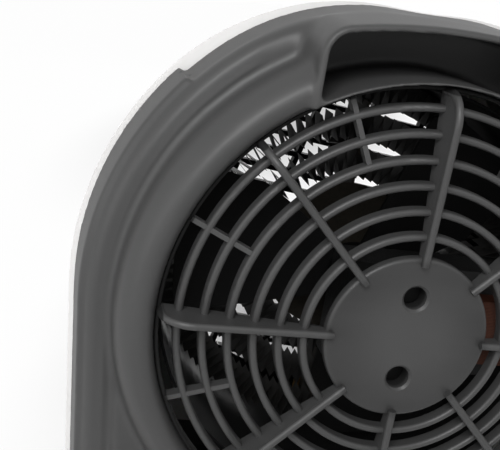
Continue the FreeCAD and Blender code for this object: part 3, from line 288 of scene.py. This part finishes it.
def grille_plastic():
    finish = Finish("inlet_grille_plastic")
    clouds = finish.noise(FLOW_CLOUDS, detail=3.0)
    fine = finish.noise(ERODED_GRAIN)
    flow = finish.noise(scale=90, detail=3.0, stretch=(0.35, 1, 1.6))
    from_axis = finish.node(
        "ShaderNodeMapping", {},
        {"Vector": finish.place(), "Location": (-HUB[0], 0.0, -HUB[2]), "Scale": (1.0, 0.0, 1.0)})
    ring = finish.length(from_axis)
    back = finish.node("ShaderNodeSeparateXYZ", {}, {0: finish.place()}, output="Y")
    on_hub = 1 - finish.fade(ring, HUB_INSIDE, HUB_OUTSIDE)
    # Painted shade: the hub's colour darkens from its middle towards its edge, streaked with flow
    # lines.
    edge_shade_share = finish.fade(ring, HUB_SHADE_START, HUB_RADIUS)
    # Painted shade: the bores below their mouths and the rim ring seated in the shell are painted
    # near black and made rougher.
    in_bore = on_hub * (1 - finish.fade(back, BORE_DARK, BORE_MOUTH))
    bore_and_rim_shade = in_bore + finish.fade(ring, RIM_START, RIM_END)
    plain = finish.blend(clouds, GRILLE_DARK, GRILLE_PALE)
    hub_colour_shaded = finish.blend(on_hub * edge_shade_share * (0.35 + 0.75 * flow), plain, HUB_SHADE_GREY)
    finish.set(
        Base_Color=finish.blend(bore_and_rim_shade, hub_colour_shaded, SHADE_BLACK),
        Roughness=0.36 + 0.08 * clouds + 0.05 * fine + 0.4 * bore_and_rim_shade,
        Normal=finish.relief(fine, GRAIN_DEPTH),
        Specular_IOR_Level=0.3,
    )
    return finish.material


dress(grille_plastic(), "rear_grille")

# Motor: a stack of stamped steel sheets with one limb wound in enamelled copper, between two
# blackened steel brackets with sintered bronze bushes. Two long blackened screws hang all of it
# from the bosses behind the grille's hub.
BRONZE_TINT = (0.42, 0.26, 0.1, 1.0)
COPPER_TINT = (0.08, 0.022, 0.009, 1.0)
SHEET_PITCH = 0.0005
WIRE_PITCH = 0.0005
WAVE_LENGTH = 0.314


def plated_steel(name, colour, rough):
    """Plated or blackened metal: a thin milky skin with rolling marks."""
    finish = Finish(name)
    drag = finish.noise(scale=420, detail=3.0, stretch=(1, 9, 1))
    stain = finish.noise(scale=90)
    finish.set(
        Base_Color=finish.blend(stain, shade(colour, 0.8), colour),
        Metallic=1.0,
        Roughness=rough + 0.2 * drag,
        Normal=finish.relief(drag, depth=0.00001),
    )
    return finish.material


def layered(name, colour, pitch, direction, rough, metallic):
    """Thin layers side by side, such as stamped sheets or turns of wire."""
    finish = Finish(name)
    layers = finish.node(
        "ShaderNodeTexWave",
        {"wave_type": "BANDS", "bands_direction": direction, "wave_profile": "SIN"},
        {"Vector": finish.place(), "Scale": WAVE_LENGTH / pitch, "Distortion": 0.6, "Detail": 1.0})
    stain = finish.noise(scale=150)
    finish.set(
        Base_Color=finish.blend(layers * (0.6 + 0.4 * stain), shade(colour, 0.45), colour),
        Metallic=metallic,
        Roughness=rough + 0.15 * stain,
        Normal=finish.relief(layers, depth=pitch * 0.35),
    )
    return finish.material


STEEL_SHEETS = layered("core_sheets", grey(0.025), SHEET_PITCH, "Y", rough=0.5, metallic=0.6)
WINDING = layered("copper_winding", COPPER_TINT, WIRE_PITCH, "Z", rough=0.5, metallic=0.4)
PLATED = plated_steel("zinc_plate", grey(0.36), rough=0.3)
BRONZE = plated_steel("sintered_bronze", BRONZE_TINT, rough=0.45)
BLACKENED = plated_steel("black_oxide", grey(0.012), rough=0.5)
dress(STEEL_SHEETS, "motor_core", "rotor_core")
dress(WINDING, "motor_coil")
dress(PLATED, "motor_shaft")
dress(BLACKENED, "motor_rear_bracket", "motor_front_bracket", "motor_screws", "motor_nuts")
dress(BRONZE, "motor_bearings", "fan_collet")

# Fan: three wide cambered blades on a hub, moulded as one in black glass-filled nylon. It is
# pushed on the motor's shaft and held there by the bronze collet.
FAN_NYLON = moulded_plastic(
    "fan_nylon", grey(0.004), rough=0.7, grain=0.00004, cloud=0.3, gloss=0.12)
dress(FAN_NYLON, "fan_impeller")

# Duct: a rolled steel tube between the fan and the outlet, which keeps the warm air off the
# casing. It is painted in heat-proof black, dulled in patches.


def baked_black(name, level, rough):
    finish = Finish(name)
    patches = finish.noise(scale=70, detail=4.0)
    finish.set(
        Base_Color=finish.blend(patches, grey(level * 0.6), grey(level * 1.5)),
        Roughness=rough + 0.2 * patches,
        Normal=finish.relief(finish.noise(scale=900), depth=0.00003),
        Specular_IOR_Level=0.15,
    )
    return finish.material


dress(baked_black("duct_black", level=0.004, rough=0.65), "air_duct")

# Heating element: crossed boards of pressed mica in the duct, with zigzag rows of resistance
# ribbon in their notches, bronze tabs for the leads, a cut-out can and a one-shot fuse.
MICA_DARK = (0.011, 0.01, 0.008, 1.0)
MICA_PALE = (0.024, 0.02, 0.015, 1.0)
MICA_FLAKE = (0.036, 0.031, 0.024, 1.0)


def mica_board():
    finish = Finish("mica_board")
    flakes = finish.node(
        "ShaderNodeTexVoronoi", {"feature": "F1"}, {"Vector": finish.place(), "Scale": 700.0},
        output="Distance")
    patches = finish.noise(scale=120, detail=3.0)
    tint = finish.blend(patches, MICA_DARK, MICA_PALE)
    finish.set(
        Base_Color=finish.blend(flakes * 0.6, tint, MICA_FLAKE),
        Roughness=0.65 + 0.2 * patches,
        Normal=finish.relief(patches, depth=0.00005),
        Specular_IOR_Level=0.2,
    )
    return finish.material


def scorched_ribbon():
    finish = Finish("resistance_ribbon")
    scale = finish.noise(scale=500, detail=3.0)
    finish.set(
        Base_Color=finish.blend(scale, grey(0.005), grey(0.02, warm=0.1)),
        Metallic=0.3,
        Roughness=0.6 + 0.25 * scale,
        Normal=finish.relief(scale, depth=0.00002),
    )
    return finish.material


dress(mica_board(), "element_frame")
dress(scorched_ribbon(), "heating_wires")
dress(BRONZE, "element_terminals")
dress(PLATED, "thermal_cutout", "thermal_fuse")

# Front shell: white semi-gloss plastic with a drafted side wall and a soft front edge. Posts
# inside it take the two casing screws.
FRONT_WHITE = moulded_plastic(
    "front_casing_plastic", grey(0.74, warm=0.01), rough=0.45, grain=0.00001, cloud=0.02,
    gloss=0.25)
dress(FRONT_WHITE, "front_shell")

# Outlet grille: a slanting lattice in black heat-resistant plastic. It goes into the opening
# from inside, and its flange bears on the back of the front plate.
OUTLET_BLACK = moulded_plastic(
    "outlet_grille_plastic", grey(0.004), rough=0.6, cloud=0.3, gloss=0.2)
dress(OUTLET_BLACK, "front_grille")

# Base: a dark grey plastic plate under both shells on four zinc-plated screws, with four rubber
# feet under it. The cord's inlet at the back is a bush of the same rubber.


def moulded_rubber(name, level):
    finish = Finish(name)
    bloom = finish.noise(scale=160, detail=4.0)
    finish.set(
        Base_Color=finish.blend(bloom, grey(level * 0.7), grey(level * 1.4)),
        Roughness=0.75 + 0.15 * bloom,
        Normal=finish.relief(finish.noise(scale=1500, detail=3.0), depth=0.00004),
    )
    return finish.material


dress(moulded_plastic("base_plastic", grey(0.07), rough=0.55), "base_plate")
dress(moulded_rubber("foot_rubber", level=0.02), "rubber_feet", "cord_gland")
dress(PLATED, "base_screws", "casing_screws")

# Controls: thermostat and selector in black phenolic cases, held in the front plate by nuts,
# with dark grey knobs pushed on their round spindles. The tip-over switch has a white nylon
# plunger, and the leads meet in a block of the same nylon.
CONTROL_CASE = moulded_plastic("control_case", grey(0.02), rough=0.4, cloud=0.25)
WHITE_NYLON = moulded_plastic("white_nylon", grey(0.6, warm=0.03), rough=0.5, cloud=0.05)
dress(CONTROL_CASE, "thermostat_body", "selector_body", "tip_switch")
dress(PLATED, "thermostat_spindle", "selector_spindle", "control_nuts")
dress(moulded_plastic("knob_plastic", grey(0.08), rough=0.38), "thermostat_knob", "selector_knob")
dress(WHITE_NYLON, "tip_plunger", "terminal_block")

# Dial marks: figures and ticks printed in dark grey ink on the white front plate round both
# knobs. The ink stands a few hundredths of a millimetre proud, and it is slightly worn.
DIAL_FIGURES = {"thermostat": 7, "selector": 4}
DIAL_STEP = math.radians(45)
INK = 0.00008
TICK_START = 0.0181
TICK_END = 0.0196
TICK_HALF = 0.00035
SHORT_TICK_END = TICK_END - 0.0005
SHORT_TICK_HALF = TICK_HALF * 0.6
FIGURE_RADIUS = 0.0226
FIGURE_HEIGHT = 0.0042
plate_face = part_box("front_shell")[0][1]


def knob_centre(dial):
    """The middle of a dial across and up the front plate."""
    low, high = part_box(f"{dial}_knob")
    return Vector(((low[0] + high[0]) / 2, (low[2] + high[2]) / 2))


def raise_outline(shape, outline, seat, face):
    """Side walls and a flat face over an outline across and up the front plate."""
    under = [shape.verts.new((x, seat, z)) for x, z in outline]
    over = [shape.verts.new((x, face, z)) for x, z in outline]
    shape.faces.new(over)
    for step in range(len(outline)):
        shape.faces.new((under[step], under[step - 1], over[step - 1], over[step]))


def print_tick(shape, centre, turn, start, end, half):
    """A bar of ink along a radius of the dial; the turn runs clockwise from the top."""
    along = Vector((math.sin(turn), math.cos(turn)))
    across = Vector((along.y, -along.x)) * half
    outline = [centre + along * start - across, centre + along * start + across,
               centre + along * end + across, centre + along * end - across]
    raise_outline(shape, outline, plate_face, plate_face - INK)


def print_figure(shape, word, spot):
    letter = bpy.data.curves.new("figure", "FONT")
    letter.body = word
    letter.size = FIGURE_HEIGHT
    letter.align_x = "CENTER"
    letter.align_y = "CENTER"
    letter.extrude = INK
    holder = bpy.data.objects.new("figure", letter)
    flat = bpy.data.meshes.new_from_object(holder)
    upright = Matrix.Rotation(math.pi / 2, 4, "X")
    flat.transform(Matrix.Translation((spot.x, plate_face, spot.y)) @ upright)
    shape.from_mesh(flat)
    bpy.data.objects.remove(holder)
    bpy.data.curves.remove(letter)
    bpy.data.meshes.remove(flat)


def finished_mesh(shape):
    data = bpy.data.meshes.new("print")
    bmesh.ops.recalc_face_normals(shape, faces=shape.faces)
    shape.to_mesh(data)
    shape.free()
    return data


def printed_ink():
    finish = Finish("dial_ink")
    wear = finish.noise(scale=1800, detail=4.0)
    finish.set(
        Base_Color=finish.blend(wear, grey(0.03), grey(0.09)), Roughness=0.55 + 0.2 * wear)
    return finish.material


DIAL_INK = printed_ink()
for dial, figures in DIAL_FIGURES.items():
    centre = knob_centre(dial)
    marks = bmesh.new()
    for figure in range(figures):
        turn = DIAL_STEP * figure
        print_tick(marks, centre, turn, TICK_START, TICK_END, TICK_HALF)
        outwards = Vector((math.sin(turn), math.cos(turn)))
        print_figure(marks, str(figure), centre + outwards * FIGURE_RADIUS)
    if dial == "thermostat":
        for figure in range(figures - 1):
            turn = DIAL_STEP * (figure + 0.5)
            print_tick(marks, centre, turn, TICK_START, SHORT_TICK_END, SHORT_TICK_HALF)
    add_piece(f"{dial}_marks", finished_mesh(marks), DIAL_INK, "casing")

# Knob pointers: a white line with round ends on the end of each grip, moulded into it in a
# second shot of plastic. It turns with its knob.
POINTER_HALF = 0.0008
POINTER_START = 0.0045
POINTER_END = 0.0125
POINTER_RISE = 0.00012
ROUND_STEPS = 8
POINTER_WHITE = moulded_plastic("pointer_plastic", grey(0.7, warm=0.01), rough=0.4, cloud=0.04)
for dial in DIAL_FIGURES:
    centre = knob_centre(dial)
    grip_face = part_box(f"{dial}_knob")[0][1]
    outline = []
    for end, first in ((POINTER_END, 0.0), (POINTER_START, math.pi)):
        for step in range(ROUND_STEPS + 1):
            angle = first + math.pi * step / ROUND_STEPS
            rounding = Vector((math.cos(angle), math.sin(angle))) * POINTER_HALF
            outline.append(centre + Vector((0.0, end)) + rounding)
    line = bmesh.new()
    raise_outline(line, outline, grip_face + POINTER_RISE, grip_face - POINTER_RISE)
    add_piece(
        f"{dial}_pointer", finished_mesh(line), POINTER_WHITE, f"{dial}_control")

# Pilot lamp: an amber polycarbonate lens with fine ring prisms on its inside. It goes through a
# hole in the front plate between the knobs, and its rim bears on the back of the plate.
AMBER_DEEP = (0.5, 0.12, 0.01, 1.0)
AMBER_PALE = (0.8, 0.28, 0.03, 1.0)


def amber_lens():
    finish = Finish("amber_lens")
    rings = finish.node(
        "ShaderNodeTexWave", {"wave_type": "RINGS", "rings_direction": "Y"},
        {"Vector": finish.place(), "Scale": 900.0, "Distortion": 0.4})
    finish.set(
        Base_Color=finish.blend(rings, AMBER_DEEP, AMBER_PALE),
        Roughness=0.12 + 0.1 * rings,
        Normal=finish.relief(rings, depth=0.00005),
    )
    return finish.material


dress(amber_lens(), "pilot_lamp")

# Studio: a pale seamless floor that keeps the heater's shadow, with painted shade in front of the
# heater (a darker floor colour where that shadow falls, and a grey painted shadow beyond it), a
# white surround, and four soft lamps. Three stand on the camera's side, and a low one lights the
# front.
FLOOR_HALF = 6.0
FLOOR_GREY = grey(0.9)
# Painted shade: the floor's lowered colour inside the oval where the heater's shadow falls.
SHADOW_GREY = grey(0.7)
PAINTED_SHADOW_GREY = grey(0.55)
SLANT = 1.107
FOOT_GLOW = 0.5
OPEN_GLOW = 0.48
AMBIENT = 0.14
floor_mesh = bpy.data.meshes.new("floor")
plane = bmesh.new()
bmesh.ops.create_grid(plane, x_segments=1, y_segments=1, size=FLOOR_HALF)
plane.to_mesh(floor_mesh)
plane.free()
floor = bpy.data.objects.new("floor", floor_mesh)
bpy.context.scene.collection.objects.link(floor)
floor_finish = Finish("studio_floor")


def outside(middle, half, slant, start, end):
    """0 in an oval on the floor and 1 away from it; start and end are in its half sizes."""
    spot = floor_finish.node(
        "ShaderNodeMapping", {"vector_type": "TEXTURE"},
        {"Vector": floor_finish.place(), "Location": (*middle, 0.0),
         "Rotation": (0.0, 0.0, slant), "Scale": (*half, 1.0)})
    return floor_finish.fade(floor_finish.length(spot), start, end)


def surround_rays(finish):
    """1 for the rays that show the white surround: direct, or by way of metal and glass."""
    direct, mirrored, through = (
        finish.node("ShaderNodeLightPath", output=name)
        for name in ("Is Camera Ray", "Is Glossy Ray", "Is Transmission Ray"))
    return finish.node(
        "ShaderNodeMath", {"operation": "ADD", "use_clamp": True},
        {0: direct, 1: mirrored + through})


# Painted shadow: a soft grey patch on the floor further in front of the heater, which no lamp
# casts.
off_painted_shadow = outside((-0.38, -1.37), (0.75, 0.2), SLANT, start=0.3, end=1.4)
off_shadow = outside((-0.1, -0.36), (0.24, 0.12), SLANT, start=0.2, end=1.5)
off_feet = outside((-0.1, -0.1), (1.0, 1.0), 0.0, start=0.1, end=0.25)
floor_finish.set(
    # Painted shade: in the oval where the heater's real shadow falls, the floor's colour is also
    # lowered from 0.9 to 0.7.
    Base_Color=floor_finish.blend(off_shadow, SHADOW_GREY, FLOOR_GREY), Roughness=0.9)
glow = floor_finish.node(
    "ShaderNodeEmission", {},
    {"Color": floor_finish.blend(off_painted_shadow, PAINTED_SHADOW_GREY, grey(1.0)), "Strength": 1.0})
white_share = surround_rays(floor_finish) * off_shadow * (FOOT_GLOW + OPEN_GLOW * off_feet)
lit = Signal(floor_finish, floor_finish.surface.outputs[0])
mixed = floor_finish.node("ShaderNodeMixShader", {}, {0: white_share, 1: lit, 2: glow})
floor_finish.put(floor_finish.tree.nodes["Material Output"].inputs["Surface"], mixed)
floor_mesh.materials.append(floor_finish.material)

world = bpy.data.worlds.new("surround")
bpy.context.scene.world = world
world.use_nodes = True
sky = Finish("surround", world.node_tree)
background = world.node_tree.nodes["Background"]
sky.put(background.inputs["Color"], grey(1.0))
sky.put(background.inputs["Strength"], AMBIENT + (1 - AMBIENT) * surround_rays(sky))


def softbox(name, place, width, height, power):
    """A rectangular lamp that faces the hub."""
    lamp = bpy.data.lights.new(name, "AREA")
    lamp.shape = "RECTANGLE"
    lamp.size = width
    lamp.size_y = height
    lamp.energy = power
    holder = bpy.data.objects.new(name, lamp)
    bpy.context.scene.collection.objects.link(holder)
    aim = (Vector(HUB) - Vector(place)).to_track_quat("-Z", "Y")
    holder.matrix_world = Matrix.Translation(place) @ aim.to_matrix().to_4x4()


softbox("key_lamp", (0.62, 1.2, 1.1), width=0.8, height=0.8, power=27.0)
softbox("fill_lamp", (-0.9, 1.1, 1.0), width=0.9, height=0.9, power=3.0)
softbox("side_lamp", (1.35, 0.45, 0.3), width=0.7, height=0.7, power=4.0)
softbox("front_lamp", (-0.8, -1.4, 0.15), width=0.9, height=0.25, power=17.0)

# Camera: the photograph's place close behind the heater, above the inlet and to its left. Its
# axes, which tilt with the picture, and its lens are fitted to the grille's hub, rings and rim.
FROM_HUB = Vector((0.10993, 0.23096, 0.10052))
RIGHT = Vector((-0.96957, 0.18675, 0.15834))
UP = Vector((0.09538, -0.30754, 0.94675))
BACK = Vector((0.22550, 0.93303, 0.28037))
SENSOR = 36.0
LENS = 63.87
NEAREST = 0.005
view = bpy.data.cameras.new("photo_camera")
view.sensor_fit = "HORIZONTAL"
view.sensor_width = SENSOR
view.lens = LENS
view.clip_start = NEAREST
viewer = bpy.data.objects.new("photo_camera", view)
bpy.context.scene.collection.objects.link(viewer)
axes = Matrix((RIGHT, UP, BACK)).transposed().to_4x4()
viewer.matrix_world = Matrix.Translation(Vector(HUB) + FROM_HUB) @ axes
bpy.context.scene.camera = viewer
bpy.context.scene.view_settings.view_transform = "Standard"
